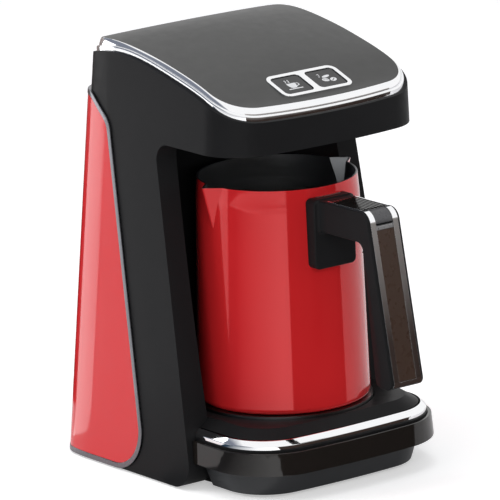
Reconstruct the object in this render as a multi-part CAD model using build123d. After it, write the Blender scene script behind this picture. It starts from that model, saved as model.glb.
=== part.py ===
from build123d import *
import os
from math import asin, atan, cos, degrees, radians, sin, tan

# Electric Turkish coffee maker with a lift-out jug. Millimetres, +X to the right, +Z up, front at -Y.
# The pieces are shaped about the jug's axis; save() then moves them all by one distance along Y, which
# puts the origin on the floor under the middle of the whole object.

# ---------------------------------------------------------------- jug
jug_base_radius = 46.4
jug_height = 120.7
jug_taper = 2.9             # how much narrower the wall is below the rim than at the base
jug_lip_height = 12.0       # the top stretch that closes in a little more
jug_lip_taper = 0.8
jug_wall = 1.0
jug_foot_radius = 3.0       # rounding between wall and bottom
jug_base_disc_thickness = 2.4
jug_base_disc_margin = 4.6  # from the jug's wall to the edge of the disc under its bottom
spout_reach = 7.4           # how far the spout's tip stands out of the rim
spout_half_width = 7.5
spout_depth = 23.3
spout_tip_radius = 1.2
spout_run_on = 5.0          # the wedge of each spout goes on this far inside the wall

# ---------------------------------------------------------------- handle
handle_drop = 5.4           # from the rim down to the top of the arm
arm_height = 16.4
handle_half_width = 10.8
grip_reach = 42.0           # from the jug's base radius out to the grip's upper outer corner
grip_lean = 0.1924          # how far the grip's outer face moves out per millimetre down
grip_bottom_height = 23.2   # above the bottom of the jug
grip_inner_top = 38.1       # from the jug's base radius out to the grip's inner face, at the arm
grip_inner_lean = 0.078
grip_corner_radius = 7.0
grip_end_radius = 4.0
grip_inner_radius = 5.0
grip_edge_radius = 1.2
grip_side_depth = 7.0       # the grip's sides are flat this far behind its outer face, then taper
grip_side_taper = 12.0      # degrees
bracket_half_width = 13.5
bracket_top_drop = 4.8
bracket_height = 37.6
bracket_reach = 2.4         # from the jug's base radius out to the bracket's face
bracket_corner_radius = 3.0
bracket_edge_radius = 0.8
arm_root_length = 5.2       # stub of the arm that belongs to the bracket
arm_root_radius = 2.4       # blend between the stub and the bracket's face
tab_margin = 5.5            # from the tab's side in to the bracket's side
tab_height = 22.0
tab_thickness = 1.2
tab_drop = 2.0              # middle of the tab below the middle of the arm
tab_clearance = 0.2
tongue_half_width = 5.0     # tongue of the tab that the handle's screw passes through
tongue_thickness = 1.6
tongue_end_margin = 4.5     # from the screw out to the tongue's end
trim_side_margin = 1.74     # from the grip's side in to the frame
frame_bar = 3.46            # width of the frame's long bars
trim_depth = 1.6
trim_proud = 0.5
insert_proud = 0.25
trim_end_margin = 1.5       # from the grip's lower end up to the frame
insert_end_margin = 4.2
band_height = 2.2
band_drop = 7.3             # from the arm's top down to the band
cap_gap = 1.1
rail_width = 0.8
strip_end_gap = 0.2         # between the ribbed strip and the arm's root
ridge_pitch = 2.1
ridge_width = 0.9
ridge_height = 0.45
ridge_end_margin = 1.2
frame_foot_set_back = 5.5   # the trims' square lower end reaches this far into the grip
frame_corner_set_back = 4.0
handle_screw_radius = 2.0
handle_screw_head_radius = 3.6
handle_screw_head_height = 2.2
handle_screw_set_back = 10.5
handle_screw_cover = 2.0    # plastic left between the screw and the trims

# ---------------------------------------------------------------- housing
wall = 2.4
recess_gap = 9.1            # from the jug's base to the wall of the recess it stands in
cheek_thickness = 16.3      # from the recess out to the side, at the floor
side_lean = 0.034           # how far each side leans in per millimetre of height
column_depth = 56.7         # from the recess to the rear face, at the floor
rear_lean = 0.108
rear_bow_radius = 440.0
rear_corner_radius = 18.0
rear_flank_radius = 105.0
rear_flank_turn = 8.0       # degrees that the flank turns in before the rear corner
housing_bottom = 1.0
head_overhang = 4.1         # from the jug's base out to the head's front
head_bow_radius = 333.0
head_corner_radius = 25.0
headroom = 24.3             # from the jug's rim up to the underside of the head
head_front_height = 18.8
cheek_foot = -10.9          # the cheek's front edge, carried down to the floor
cheek_lean = 0.162
cheek_foot_radius = 13.0
cheek_head_radius = 9.0
floor_opening_front = 13.0  # front edge of the opening that the bottom cover closes
envelope_foot = -5.0        # the leaning outer form runs from here
envelope_rise = 45.0        # to this far above the head's front edge

# Top edge of the housing from front to rear: (share of the head's length, rise above the front edge)
seam_shape = [(-0.08, 0.0), (0.03, 0.25), (0.095, 3.6), (0.18, 8.8), (0.31, 14.5), (0.46, 19.6),
              (0.62, 24.0), (0.78, 25.0), (1.0, 18.8), (1.1, 14.5)]
# Edge of the lid panel, with the height of its crown: (share of the length, rise, crown)
lid_shape = [(-0.08, 4.8, 0.1), (0.03, 5.2, 0.1), (0.1, 8.1, 0.2), (0.2, 13.3, 0.6), (0.31, 18.0, 1.5),
             (0.46, 22.9, 2.5), (0.62, 26.8, 3.2), (0.76, 28.9, 2.8), (0.88, 28.4, 1.2), (1.0, 24.0, 0.4),
             (1.1, 19.0, 0.2)]

# ---------------------------------------------------------------- rear cover and its trim
cover_inset = 1.4           # how deep the cover sits in the housing's wall
cover_proud_side = 0.8
cover_proud_rear = 2.3
trim_proud_over_cover = 0.25
trim_width = 2.9
seat_gap = 0.1              # between fixed pieces that slip into one another
cover_top_rise = 0.0              # top of the trim above the head's front edge
cover_corner = (37.3, 14.0)       # from the rear reach to the trim's upper corner, and its radius
cover_shoulder = (54.4, 13.3, 14.0)     # the same, with the drop from the head's front edge
cover_foot = (84.4, 0.9, 24.0)          # the same, with the height above the floor
gland_height = 15.0
gland_radius = 5.0
gland_bore_radius = 3.2
gland_flange_radius = 6.4
gland_flange_thickness = 1.6
groove_gap = 0.2

# ---------------------------------------------------------------- lid ring, panel and buttons
bead_height = 2.0
bead_inset = 1.3            # from the outer bead in to the groove
inner_bead_inset = 1.9
bead_groove_depth = 0.6
panel_inset = 2.7
ledge_width = 2.6
panel_thickness = 2.2
section_reach = 10.0        # the lid's cross sections run on this far beyond the panel
section_depth = 40.0
button_share = 0.1449       # place of the buttons' middle, as a share of the head's length
button_rise = 10.6          # lid surface there, above the head's front edge
button_slope = 50.25        # the lid's slope there, as its rise over the head's whole length
bezel_half_width = 23.0
bezel_half_length = 10.8
bezel_corner_radius = 5.0
bezel_rim = 2.5
bezel_divider = 4.0
bezel_proud = 0.8
bezel_depth = 3.4
bezel_pocket_depth = 8.0    # the lid's opening for the bezel runs this far below it
button_recess = 0.5         # button face below the top of its bezel
button_gap = 0.3
button_flange = 1.0
button_flange_thickness = 1.0
button_stem_radius = 2.2
button_stem_length = 0.7
button_travel = 0.7
plunger_radius = 1.7
plunger_bore_clearance = 0.08
plunger_length = 3.0
plunger_standout = 1.3      # above the top of the switch, at rest
plunger_end_gap = 0.1
switch_size = 6.0
switch_height = 3.4
board_thickness = 1.6
board_margin = 5.0          # from the middle of a post out to the board's end
board_side_margin = 1.2     # the board is this much longer than half the bezel
board_post_radius = 2.6
board_post_gap = 0.4        # between a post and the bezel
board_post_inset = 4.8      # from the bezel's front or rear edge in to the middle of a post
screw_radius = 1.1
screw_clearance = 0.2
screw_head_radius = 2.2
screw_head_height = 1.6
screw_length = 6.0

# ---------------------------------------------------------------- base
base_gap = 0.3              # between the base and the housing round it
recess_disc_reach = 6.0     # how far the round rear part of the base overlaps its front part
base_bottom = 2.0
pan_front = 6.2             # from the jug's base out to the pan's front, at its foot
pan_side_margin = 14.0      # from the housing's side in to the pan's side, at its foot
pan_corner_radius = 25.8
pan_flare = 4.2             # how much wider the pan is at its top
pan_ledge_width = 4.8
pan_ledge_overlap = 1.0     # how far the ledge runs into the pan's wall
skirt_bottom = 15.3
skirt_height = 12.2
skirt_front = 18.5          # from the jug's base out to the skirt's front, at its top
skirt_side_margin = 4.5     # from the housing's side in to the skirt's side, at its top
skirt_corner_radius = 35.0
skirt_flare = 1.1
skirt_wall = 2.2
skirt_flange_thickness = 1.8
ring_gap = 1.1              # dark gap between the skirt and the ring
ring_height = 4.6
ring_band_height = 2.0
ring_front = 15.0           # from the jug's base out to the ring's front
ring_side_margin = 7.0      # from the housing's side in to the ring's side
ring_corner_radius = 31.0
ring_bevel = 2.8
ring_land = 0.6
base_bow_radius = 500.0
platform_edge_drop = 0.4    # platform edge below the top of the ring
platform_rise = 4.8
platform_slope = 58.0       # degrees from vertical of the slope inside the ring
heating_plate_margin = 1.1  # from the jug's base out to the plate's edge
heating_plate_proud = 1.4
heating_plate_thickness = 3.0
jug_rest_gap = 0.3
plate_seal_width = 0.6

# ---------------------------------------------------------------- heater and floor
element_margin = 17.5       # from the plate's edge in to the middle of the element
element_radius = 3.3
element_turn = 330.0
dish_margin = 4.5           # from the plate's edge in to the dish
dish_wall = 1.0
dish_depth = 12.0
dish_hole_gap = 1.0
sensor_radius = 6.0
sensor_height = 9.0
sensor_proud = 0.1
sensor_neck = (4.5, 4.0)    # radius and length of the narrower part below the can
fuse_radius = 2.6
fuse_length = 14.0
fuse_set_forward = 22.0
floor_thickness = 2.4
post_count = 3
post_radius = 3.6
post_margin = 9.0           # from the dish's edge in to the middle of a post
foot_radius = 7.0
foot_stem_radius = 3.0
foot_head_height = 1.2
foot_head_lip = 1.0
front_foot = (21.8, 18.6)   # in from the pan's side and back from its front, at its foot
rear_foot = (25.8, 28.2)    # in from the housing's side and rear
vent_count = 7
vent_pitch = 7.0
vent_size = (26.0, 3.0)     # length over its rounded ends, and width
vent_set_back = 30.2        # from the rear to the middle of the vents
side_screw_bearing = 54.7   # degrees from +Y, just outside the recess
rear_screw = (30.0, 7.6)    # from the middle, and in from the rear
floor_screw_boss_radius = 3.4
floor_boss_height = 14.0
floor_screw_clearance = 0.3
floor_screw_slack = 0.05
floor_screw_extra = 2.0

# ---------------------------------------------------------------- power board
power_board_half_width = 36.0
power_board_height = 84.0
power_board_foot = 22.0
board_clearance = 6.25      # between the tallest component and the rear wall, at the board's top
relay_size = (19.0, 10.0, 15.0)
transformer_size = (28.0, 15.0, 24.0)
capacitor_radius = 5.0
capacitor_length = 13.0
terminal_size = (26.0, 11.0, 12.0)
relay_place = (-18.0, 62.0)         # X, and height above the board's foot
transformer_place = (14.0, 58.0)
capacitor_place = (-18.0, 34.0)
terminal_place = (10.0, 24.0)
rail_depth = 4.0
rail_cheek = 3.0            # plastic on each side of a rail's slot
rail_grip = 6.0             # height over which a rail holds the board

# ---------------------------------------------------------------- under the head
hatch_radius = 27.0
hatch_lip = 2.5
hatch_thickness = 2.0
window_radius = 7.0
window_thickness = 1.5
window_lip = 1.2
window_recess = 0.4
sensor_board_size = (26.0, 18.0)
sensor_eye = (6.0, 2.0)     # radius and height
buzzer_radius = 6.0
buzzer_height = 5.0

# ---------------------------------------------------------------- worked out from the values above
recess_radius = jug_base_radius + recess_gap
housing_half_width = recess_radius + cheek_thickness
rear_reach = recess_radius + column_depth
head_front = -(jug_base_radius + head_overhang)
pan_half_width = housing_half_width - pan_side_margin
skirt_half_width = housing_half_width - skirt_side_margin
ring_half_width = housing_half_width - ring_side_margin
skirt_top = skirt_bottom + skirt_height
ring_bottom = skirt_top + ring_gap
ring_top = ring_bottom + ring_height
heating_plate_radius = jug_base_radius + heating_plate_margin
dish_radius = heating_plate_radius - dish_margin
plateau = ring_top - platform_edge_drop + platform_rise
heating_plate_top = plateau + heating_plate_proud
jug_bottom = heating_plate_top + jug_rest_gap
jug_top = jug_bottom + jug_height
head_underside = jug_top + headroom
head_front_top = head_underside + head_front_height
seam_rise = max(rise for share, rise in seam_shape)
head_length = rear_reach - rear_lean * (head_front_top + seam_rise) - head_front
handle_top = jug_top - handle_drop
arm_bottom = handle_top - arm_height
grip_bottom = jug_bottom + grip_bottom_height
grip_corner_y = -(jug_base_radius + grip_reach)
grip_bottom_y = grip_corner_y - grip_lean * (handle_top - grip_bottom)
bracket_front = -(jug_base_radius + bracket_reach)
arm_root = bracket_front - arm_root_length
tab_half_width = bracket_half_width - tab_margin
trim_half_width = handle_half_width - trim_side_margin
insert_half_width = trim_half_width - frame_bar
band_top = handle_top - band_drop
button_flange_bottom = -(bezel_depth + base_gap + button_flange_thickness)
button_stem_bottom = button_flange_bottom - button_stem_length
switch_top = button_stem_bottom - plunger_standout
button_board_top = switch_top - switch_height
power_board_y = (rear_reach - rear_lean * (power_board_foot + power_board_height) - wall - board_clearance
                 - transformer_size[1] - board_thickness)
far = 150.0                       # beyond the object on every side
past = 1.0                        # how far a cutter passes the face that it cuts
origin_shift = (-grip_bottom_y - rear_reach - cover_proud_rear) / 2


def save(name, shape):
    export_step(Pos(0, origin_shift, 0) * shape, f"parts/{name}.step")


def at_bearing(centre, radius, bearing):
    """Point on a circle; the bearing is counted from +Y towards +X, in degrees."""
    return (centre[0] + radius * sin(radians(bearing)), centre[1] + radius * cos(radians(bearing)))


def bearing_arc(centre, radius, start, end):
    return ThreePointArc(*(at_bearing(centre, radius, b) for b in (start, (start + end) / 2, end)))


def plan_face(middle_edges, right_edges):
    """Face inside edges that cross the middle plane, right-hand edges and their mirror image."""
    left_edges = [mirror(edge, about=Plane.YZ) for edge in right_edges]
    return make_face(middle_edges + right_edges + left_edges)


def front_arcs(half_width, front, bow_radius, corner_radius):
    """A bowed front and the right corner that joins it to a straight side."""
    turn = degrees(asin((half_width - corner_radius) / (bow_radius - corner_radius)))
    bow_centre = (0, front + bow_radius)
    bow_end = at_bearing(bow_centre, bow_radius, 180 - turn)
    corner_centre = at_bearing(bow_end, -corner_radius, 180 - turn)
    bow = bearing_arc(bow_centre, bow_radius, 180 + turn, 180 - turn)
    corner = bearing_arc(corner_centre, corner_radius, 180 - turn, 90)
    return bow, corner


def rear_arcs(half_width, rear, grow):
    """A bowed rear, its right corner and the flank that leads to a straight side."""
    bow_radius = rear_bow_radius + grow
    corner_radius = rear_corner_radius + grow
    flank_radius = rear_flank_radius + grow
    flank_bearing = 90 - rear_flank_turn
    flank_share = sin(radians(flank_bearing))
    reach = half_width - flank_radius * (1 - flank_share) - corner_radius * flank_share
    turn = degrees(asin(reach / (bow_radius - corner_radius)))
    bow_centre = (0, rear - bow_radius)
    bow_end = at_bearing(bow_centre, bow_radius, turn)
    corner_centre = at_bearing(bow_end, -corner_radius, turn)
    corner_end = at_bearing(corner_centre, corner_radius, flank_bearing)
    flank_centre = at_bearing(corner_end, -flank_radius, flank_bearing)
    bow = bearing_arc(bow_centre, bow_radius, -turn, turn)
    corner = bearing_arc(corner_centre, corner_radius, turn, flank_bearing)
    flank = bearing_arc(flank_centre, flank_radius, flank_bearing, 90)
    return bow, corner, flank


def housing_plan(z, grow, rear_extra):
    """Outline of the machine at one height, grown outward all round."""
    half_width = housing_half_width - side_lean * z + grow
    rear = rear_reach - rear_lean * z + grow + rear_extra
    front_bow, front_corner = front_arcs(half_width, head_front - grow, head_bow_radius + grow,
                                         head_corner_radius + grow)
    rear_bow, rear_corner, flank = rear_arcs(half_width, rear, grow)
    side = Line(flank @ 1, front_corner @ 1)
    return Pos(0, 0, z) * plan_face([front_bow, rear_bow], [front_corner, side, flank, rear_corner])


def envelope(grow=0.0, rear_extra=0.0):
    """The leaning outer form of the machine, much taller than the machine itself."""
    heights = (envelope_foot, head_front_top + envelope_rise)
    return loft([housing_plan(z, grow, rear_extra) for z in heights], ruled=True)


def across(face_yz, half_width=far):
    """A side-view face, given in Y and Z, made solid to both sides of the middle plane."""
    return extrude(Plane.YZ * face_yz, half_width, both=True)


def cheek_front(z):
    return cheek_foot + cheek_lean * z


def closed_polyline(*points):
    return make_face(Polyline(*points, close=True))


def head_point(share, rise):
    return (head_front + share * head_length, head_front_top + rise)


def under_curve(points):
    """Everything below a side-view curve."""
    curve = Spline(*points)
    rest = Polyline(points[-1], (far, points[-1][1]), (far, -far), (-far, -far), (-far, points[0][1]),
                    points[0])
    return across(make_face([curve, rest]))


def under_seam(lift=0.0):
    return under_curve([head_point(share, rise + lift) for share, rise in seam_shape])


def under_lid_edge(lift=0.0):
    return under_curve([head_point(share, rise + lift) for share, rise, crown in lid_shape])


def machine_side(offset):
    """Side view of the cheeks and head below the lid, moved inward by the offset."""
    bottom = housing_bottom + offset
    underside = head_underside + offset
    slant = offset / cos(atan(cheek_lean))
    front = FilletPolyline((far, bottom), (cheek_front(bottom) + slant, bottom),
                           (cheek_front(underside) + slant, underside), (-far, underside),
                           radius=(cheek_foot_radius - offset, cheek_head_radius + offset))
    rest = Polyline((-far, underside), (-far, 2 * far), (far, 2 * far), (far, bottom))
    return across(make_face([front, rest]))


def upright(radius, low, high, place=(0.0, 0.0)):
    """An upright cylinder between two heights."""
    return Pos(place[0], place[1], (low + high) / 2) * Cylinder(radius, high - low)


def block(x, y, z):
    """A box given by its limits along each axis."""
    middle = [(low + high) / 2 for low, high in (x, y, z)]
    return Pos(*middle) * Box(*[high - low for low, high in (x, y, z)])


def base_plan(half_width, front, corner_radius, grow=0.0):
    """Bowed front with straight sides, for the parts of the base."""
    x = half_width + grow
    bow, corner = front_arcs(x, front - grow, base_bow_radius + grow, corner_radius + grow)
    return plan_face([bow, Line((x, far / 2), (-x, far / 2))], [corner, Line(corner @ 1, (x, far / 2))])


def cover_region(inset=0.0):
    """Side view of the rear cover: its trim follows this outline."""
    top = head_front_top + cover_top_rise
    foot = cover_foot[1]
    edge = FilletPolyline((far, top), (rear_reach - cover_corner[0], top),
                          (rear_reach - cover_shoulder[0], head_front_top - cover_shoulder[1]),
                          (rear_reach - cover_foot[0], foot), (far, foot),
                          radius=(cover_corner[1], cover_shoulder[2], cover_foot[2]))
    face = make_face([edge, Line((far, foot), (far, top))])
    if inset:
        face = offset(face, amount=-inset)
    return across(face)


# ---------------------------------------------------------------- pieces of the housing
def main_housing():
    """Black shell: two cheeks, rear column and head round the recess that the jug stands in."""
    shell = envelope() & machine_side(0.0) & under_seam()
    cavity = envelope(-wall) & machine_side(wall)
    recess_wall = upright(recess_radius + wall, -past, head_underside + wall)
    shell -= cavity - recess_wall
    floor_top = base_bottom + floor_thickness
    opening = envelope(-wall) & block((-far, far), (floor_opening_front, far), (-past, floor_top + base_gap))
    pocket = cover_region(-groove_gap) - envelope(-cover_inset)
    hatch = upright(hatch_radius, head_underside - past, head_underside + wall + past)
    gland = gland_tunnel(gland_radius + seat_gap)
    shell = shell - opening - pocket - hatch - gland
    for place in screw_places():
        shell += upright(floor_screw_boss_radius, floor_top, floor_top + floor_boss_height, place)
        shell -= upright(screw_radius, 0, floor_top + screw_length, place)
    return shell - upright(recess_radius, -past, head_underside)


def gland_axis():
    """Place of the cord gland in the rear wall, its axis square to the leaning wall."""
    rear = rear_reach - rear_lean * gland_height
    return Pos(0, rear - wall / 2, gland_height) * Rot(90, 0, 0)


def gland_tunnel(radius):
    """Round hole through everything at the rear wall."""
    return gland_axis() * Cylinder(radius, 4 * (wall + 2 * gland_flange_thickness))


def cord_gland():
    """Rubber ring in the rear wall where the mains lead comes in."""
    ring = gland_axis() * Cylinder(gland_radius, wall + 2 * gland_flange_thickness)
    for end in (-1, 1):
        reach = end * (wall / 2 + gland_flange_thickness)
        ring += gland_axis() * Pos(0, 0, reach) * Cylinder(gland_flange_radius, gland_flange_thickness)
    return ring - gland_tunnel(gland_bore_radius)


def cover_shell(proud):
    """Layer round the rear column, from the pocket in the housing out to the cover's face or beyond."""
    outside = envelope(cover_proud_side + proud, cover_proud_rear - cover_proud_side)
    return outside - envelope(seat_gap - cover_inset)


def rear_cover():
    """Glossy cover that wraps the rear column from one side to the other."""
    cover = cover_shell(0.0) & cover_region(trim_width + seat_gap)
    return cover - gland_tunnel(gland_flange_radius + seat_gap)


def rear_trim():
    """Metal strip that frames the cover."""
    return cover_shell(trim_proud_over_cover) & (cover_region() - cover_region(trim_width))


def hatch():
    """Round plate that closes the head from below, over the jug."""
    step = head_underside + wall
    top = step + hatch_thickness
    plate = upright(hatch_radius - seat_gap, head_underside, step)
    plate += upright(hatch_radius + hatch_lip, step, top)
    return plate - upright(window_radius, head_underside - past, top + past)


def sensor_window():
    """Lens that the overflow sensor looks through."""
    high = head_underside + wall + hatch_thickness
    window = upright(window_radius - seat_gap, head_underside + window_recess, high)
    return window + upright(window_radius + window_lip, high, high + window_thickness)


def sensor_board():
    """Small board on the window, with the sensor's eye on it."""
    low = head_underside + wall + hatch_thickness + window_thickness
    high = low + board_thickness
    width, length = sensor_board_size
    board = block((-width / 2, width / 2), (-length / 2, length / 2), (low, high))
    return board + upright(sensor_eye[0], high, high + sensor_eye[1])


# ---------------------------------------------------------------- lid
def lid_ring():
    """Bright ring on the housing's top edge: an outer bead, a groove and a thinner inner bead."""
    above_seam = under_lid_edge() - under_seam()
    ring = (envelope() - envelope(-panel_inset)) & above_seam
    bead_step = (envelope(past) - envelope(-bead_inset)) & (above_seam - under_seam(bead_height))
    groove = envelope(-bead_inset) - envelope(-inner_bead_inset)
    groove = groove & (under_lid_edge(past) - under_seam(bead_height - bead_groove_depth))
    ledge_band = under_lid_edge(-panel_thickness - seat_gap) - under_seam()
    ledge = (envelope(-inner_bead_inset) - envelope(-panel_inset - ledge_width)) & ledge_band
    return ring - bead_step - groove + ledge


def lid_section(share, rise, crown, lift):
    """Upright slice across the lid: flat below, arched above."""
    y, z = head_point(share, rise + lift)
    half_width = housing_half_width - panel_inset - side_lean * z
    reach = half_width + section_reach
    drop = crown * ((reach / half_width) ** 2 - 1)
    base = z - section_depth
    arch = ThreePointArc((-reach, z - drop), (0, z + crown), (reach, z - drop))
    rest = Polyline((reach, z - drop), (reach, base), (-reach, base), (-reach, z - drop))
    return Plane(origin=(0, y, 0), x_dir=(1, 0, 0), z_dir=(0, -1, 0)) * make_face([arch, rest])


def lid_form(lift=0.0):
    """Everything below the crowned surface of the lid."""
    return loft([lid_section(share, rise, crown, lift) for share, rise, crown in lid_shape])


def button_plane():
    """Plane of the lid at the buttons: its Z is square to the lid and its X points right."""
    y, z = head_point(button_share, button_rise + bezel_proud)
    return Plane(origin=(0, y, z), x_dir=(1, 0, 0), z_dir=(0, -button_slope, head_length))


def on_lid(sketch, low, high):
    """A flat outline on the button plane made solid between two heights above it."""
    return extrude(button_plane() * Pos(0, 0, low) * sketch, high - low)


def round_on_lid(x, y, radius, low, high):
    return on_lid(Pos(x, y) * Circle(radius), low, high)


def bezel_outline(grow=0.0):
    half_width = bezel_half_width + grow
    half_length = bezel_half_length + grow
    return RectangleRounded(2 * half_width, 2 * half_length, bezel_corner_radius + grow)


def button_outline(side, grow=0.0):
    """Opening for one button, to the right (+1) or left (-1) of the divider."""
    inner = bezel_divider / 2
    outer = bezel_half_width - bezel_rim
    width = outer - inner + 2 * grow
    length = 2 * (bezel_half_length - bezel_rim + grow)
    corner_radius = bezel_corner_radius - bezel_rim + grow
    return Pos(side * button_middle(), 0) * RectangleRounded(width, length, corner_radius)


def button_middle():
    return (bezel_half_width - bezel_rim + bezel_divider / 2) / 2


def lid_panel():
    """Satin lid with the opening for the bezel and four posts that carry the button board."""
    panel = (lid_form() - lid_form(-panel_thickness)) & envelope(-panel_inset - seat_gap)
    panel -= on_lid(bezel_outline(seat_gap), -bezel_pocket_depth, bezel_pocket_depth)
    for x, y in board_posts():
        panel += round_on_lid(x, y, board_post_radius, button_board_top, -bezel_proud - panel_thickness / 2)
    for x, y in board_posts():
        panel -= round_on_lid(x, y, screw_radius, button_board_top - past, button_board_top + screw_length)
    return panel


def board_posts():
    """Posts stand beside the bezel, near its front and rear corners."""
    x = bezel_half_width + board_post_radius + board_post_gap
    y = bezel_half_length - board_post_inset
    return [(side * x, end * y) for side in (-1, 1) for end in (-1, 1)]


def button_bezel():
    """Bright frame round both buttons, with a bar between them."""
    frame = on_lid(bezel_outline(), -bezel_depth, 0)
    for side in (-1, 1):
        frame -= on_lid(button_outline(side), -bezel_depth - past, past)
    return frame


def button_cap(side):
    """Cap with its retaining flange just below the bezel, and the stem that presses the switch."""
    flange_top = button_flange_bottom + button_flange_thickness
    cap = on_lid(button_outline(side, -button_gap), button_flange_bottom, -button_recess)
    flange = on_lid(button_outline(side, button_flange - button_gap), button_flange_bottom, flange_top)
    x = side * button_middle()
    stem = round_on_lid(x, 0, button_stem_radius, button_stem_bottom, button_flange_bottom)
    return cap + flange + stem


def plunger(side):
    """Pin that the button presses into its switch."""
    low = button_stem_bottom - plunger_length
    return round_on_lid(side * button_middle(), 0, plunger_radius, low, button_stem_bottom)


def tact_switch(side):
    """Switch body on the board, bored for its plunger."""
    x = side * button_middle()
    body = on_lid(Pos(x, 0) * Rectangle(switch_size, switch_size), button_board_top, switch_top)
    bore_bottom = button_stem_bottom - plunger_length - button_travel - plunger_end_gap
    return body - round_on_lid(x, 0, plunger_radius + plunger_bore_clearance, bore_bottom, switch_top + past)


def button_board():
    """Board under the buttons, screwed to the lid's posts."""
    post_x, post_y = board_posts()[-1]
    outline = Rectangle(2 * (post_x + board_margin), 2 * (bezel_half_length + board_side_margin))
    for x, y in board_posts():
        outline -= Pos(x, y) * Circle(screw_radius + screw_clearance)
    return on_lid(outline, button_board_top - board_thickness, button_board_top)


def board_screws():
    low = button_board_top - board_thickness
    screws = []
    for x, y in board_posts():
        head = round_on_lid(x, y, screw_head_radius, low - screw_head_height, low)
        screws.append(head + round_on_lid(x, y, screw_radius, low, low + screw_length))
    return screws


def buzzer():
    low = button_board_top - board_thickness
    return round_on_lid(0, 0, buzzer_radius, low - buzzer_height, low)


# ---------------------------------------------------------------- base
def recess_disc(inset, low, high):
    """Round slab inside the recess that reaches a little way forward between the cheeks."""
    disc = upright(recess_radius - base_gap - inset, low, high)
    return disc & block((-far, far), (cheek_foot - recess_disc_reach, far), (low, high))


def pan_plan(grow=0.0):
    return base_plan(pan_half_width, -(jug_base_radius + pan_front), pan_corner_radius, grow)


def skirt_plan(grow=0.0):
    return base_plan(skirt_half_width, -(jug_base_radius + skirt_front), skirt_corner_radius, grow)


def ring_plan(grow=0.0):
    return base_plan(ring_half_width, -(jug_base_radius + ring_front), ring_corner_radius, grow)


def flared(plan, low, high, foot_grow, top_grow):
    """A wall outline that widens or narrows evenly from one height to another."""
    return loft([Pos(0, 0, low) * plan(foot_grow), Pos(0, 0, high) * plan(top_grow)], ruled=True)


def pan_form(grow):
    return flared(pan_plan, base_bottom, skirt_bottom, grow, pan_flare + grow)


def in_front(solid):
    """The part of a base piece that lies in front of the cheeks, clear of them."""
    slant = base_gap / cos(atan(cheek_lean))
    front = closed_polyline((cheek_front(-far) - slant, -far), (cheek_front(far) - slant, far),
                            (-2 * far, far), (-2 * far, -far))
    return solid & across(front)


def base_pan():
    """Flared wall of the foot of the base, with a ledge that the bottom cover screws against."""
    pan = pan_form(0.0) - pan_form(-wall)
    floor_top = Pos(0, 0, base_bottom + floor_thickness)
    ledge = extrude(floor_top * pan_plan(pan_ledge_overlap - wall), wall)
    ledge -= extrude(floor_top * pan_plan(-wall - pan_ledge_width), wall)
    return in_front(pan + ledge)


def base_skirt():
    """Glossy band round the base with a flange below that covers the step to the pan."""
    skirt = flared(skirt_plan, skirt_bottom, skirt_top, skirt_flare, 0.0)
    hollow = flared(skirt_plan, skirt_bottom, skirt_top, skirt_flare - skirt_wall, -skirt_wall)
    low = Pos(0, 0, skirt_bottom)
    flange = extrude(low * skirt_plan(skirt_flare - skirt_wall), skirt_flange_thickness)
    flange -= extrude(low * pan_plan(pan_flare - wall), skirt_flange_thickness)
    return in_front(skirt - hollow + flange)


def base_ring():
    """Bright ring: an upright band and a bevel above it."""
    bevel_foot = ring_bottom + ring_band_height
    band = extrude(Pos(0, 0, ring_bottom) * ring_plan(), ring_band_height)
    bevel = flared(ring_plan, bevel_foot, ring_top, 0.0, -ring_bevel)
    hole = extrude(Pos(0, 0, ring_bottom) * ring_plan(-ring_bevel - ring_land), ring_top)
    return in_front(band + bevel - hole)


def platform_form(inset):
    """Top of the base: edge inside the ring, slope, plateau and the round part in the recess."""
    edge = ring_top - platform_edge_drop
    outline = ring_plan(-ring_bevel - ring_land - seat_gap - inset)
    low = skirt_bottom + skirt_flange_thickness
    top = plateau - inset
    foot = extrude(Pos(0, 0, low) * skirt_plan(-skirt_wall - seat_gap - inset), ring_bottom - low - inset)
    core = extrude(Pos(0, 0, low) * outline, edge - inset - low)
    slope = extrude(Pos(0, 0, edge - inset) * outline, top - edge + inset, taper=platform_slope)
    return in_front(foot + core + slope) + recess_disc(inset, low, top)


def platform():
    """Moulded top of the base with the round opening for the heating plate."""
    shell = platform_form(0.0)
    low = skirt_bottom + skirt_flange_thickness
    return shell - platform_form(wall) - upright(heating_plate_radius + plate_seal_width, low - past, far)


def heating_plate():
    """Round plate that the jug stands on, with a hole for the temperature sensor."""
    low = heating_plate_top - heating_plate_thickness
    plate = upright(heating_plate_radius, low, heating_plate_top)
    return plate - upright(sensor_radius + seat_gap, low - past, heating_plate_top + past)


def heating_element():
    """Sheathed element, nearly a full turn, against the underside of the plate."""
    middle = heating_plate_top - heating_plate_thickness - element_radius
    ring_radius = heating_plate_radius - element_margin
    path = CenterArc((0, 0), ring_radius, 90 + (360 - element_turn) / 2, element_turn)
    section = Plane(origin=path @ 0, z_dir=path % 0) * Circle(element_radius)
    return Pos(0, 0, middle) * sweep(section, path=path)


def heater_dish():
    """Pressed dish that holds the plate up and hides the element."""
    high = heating_plate_top - heating_plate_thickness
    dish = upright(dish_radius, high - dish_depth, high)
    dish -= upright(dish_radius - dish_wall, high - dish_depth + dish_wall, high + past)
    return dish - upright(sensor_radius + dish_hole_gap, 0, high)


def temperature_sensor():
    """Spring-loaded sensor can in the middle of the plate, its face level with the plate."""
    high = heating_plate_top + sensor_proud
    low = high - sensor_height
    return upright(sensor_radius, low, high) + upright(sensor_neck[0], low - sensor_neck[1], low)


def thermal_fuse():
    """Fuse clipped under the dish."""
    high = heating_plate_top - heating_plate_thickness - dish_depth
    return Pos(0, -fuse_set_forward, high - fuse_radius) * Rot(0, 90, 0) * Cylinder(fuse_radius, fuse_length)


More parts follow.
